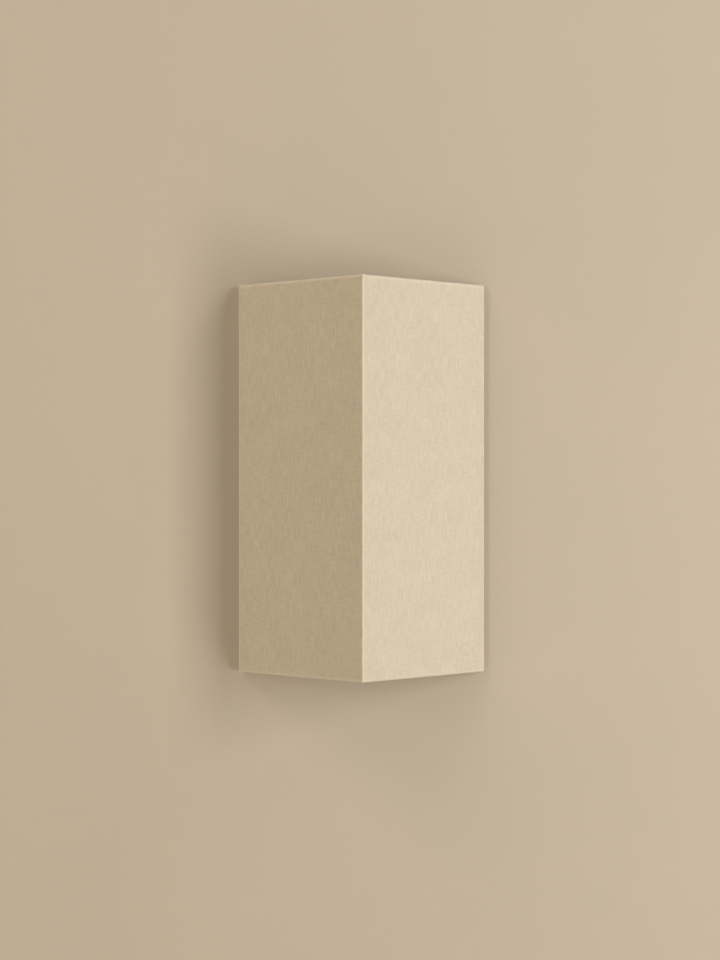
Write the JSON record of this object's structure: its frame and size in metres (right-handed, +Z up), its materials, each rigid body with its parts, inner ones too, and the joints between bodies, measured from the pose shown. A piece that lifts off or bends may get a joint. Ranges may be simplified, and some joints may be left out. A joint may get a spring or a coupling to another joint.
{
  "type": "wall light with fabric shade",
  "caption": "Wall light with a wedge-shaped folded linen shade over a wire frame, hung by keyholes on a folded steel back plate that carries a lamp holder on a bent arm.",
  "frame": {"origin": "on the wall plane, midway between the centres of the two wall-fixing slots of the bracket", "axes": "+Z up, +Y into the wall, +X to the right as seen from the room; the front edge of the shade points to -Y"},
  "size_m": [0.19, 0.0987, 0.3],
  "materials": {
    "linen": "oatmeal linen with slubs, matt",
    "lining_board": "white styrene lining, matt",
    "frame_wire": "white powder coat, matt",
    "strap_steel": "white powder coat, satin",
    "zinc_steel": "bright zinc plate",
    "grommet_rubber": "black rubber, matt",
    "plate_paint": "warm white powder coat, satin",
    "arm_paint": "warm white powder coat, satin",
    "holder_plastic": "white thermoplastic, satin",
    "core_ceramic": "white steatite, matt",
    "brass": "drawn brass",
    "block_plastic": "milky polyamide",
    "wire_brown": "brown PVC",
    "wire_blue": "blue PVC",
    "wire_earth": "green and yellow PVC",
    "cap_nickel": "nickel plated screw cap",
    "cap_glass": "black vitrite",
    "lamp_collar_white": "white thermoplastic",
    "lamp_opal": "opal diffuser, satin",
    "led_board_white": "white solder mask with pale yellow diodes"
  },
  "bodies": {
    "wall_base": {"wall_bracket": "zinc_steel", "bracket_pillars": "zinc_steel", "cable_grommet": "grommet_rubber", "back_plate": "plate_paint", "plate_washers": "zinc_steel", "plate_screws": "zinc_steel", "shoulder_screws": "zinc_steel", "shoulder_nuts": "zinc_steel", "lamp_arm": "arm_paint", "arm_flange": "arm_paint", "arm_nut": "zinc_steel", "holder_cap": "holder_plastic", "holder_skirt": "holder_plastic", "holder_grub_screw": "zinc_steel", "holder_core": "core_ceramic", "core_terminals": "brass", "holder_screw_shell": "brass", "holder_contact": "brass", "terminal_body": "block_plastic", "terminal_tubes": "brass", "terminal_screws": "zinc_steel", "terminal_fixing_screw": "zinc_steel", "earth_post": "zinc_steel", "earth_tag": "zinc_steel", "earth_nut": "zinc_steel", "live_wire": "wire_brown", "neutral_wire": "wire_blue", "earth_wire": "wire_earth"},
    "shade": {"linen_cover": "linen", "lining_left": "lining_board", "lining_right": "lining_board", "lower_ring": "frame_wire", "upper_ring": "frame_wire", "front_upright": "frame_wire", "side_uprights": "frame_wire", "lower_cross_bar": "frame_wire", "upper_cross_bar": "frame_wire", "keyhole_strap_left": "strap_steel", "keyhole_strap_right": "strap_steel"},
    "lamp": {"lamp_tip": "cap_nickel", "lamp_insulator": "cap_glass", "lamp_cap": "cap_nickel", "lamp_collar": "lamp_collar_white", "led_board": "led_board_white", "lamp_globe": "lamp_opal"}
  },
  "joints": [
    {"name": "shade_lift", "type": "slide", "parent": "wall_base", "child": "shade", "axis": [0, 0, 1], "range_m": [0, 0.012]},
    {"name": "lamp_withdraw", "type": "slide", "parent": "wall_base", "child": "lamp", "axis": [0, 0, 1], "range_m": [0, 0.03]}
  ]
}
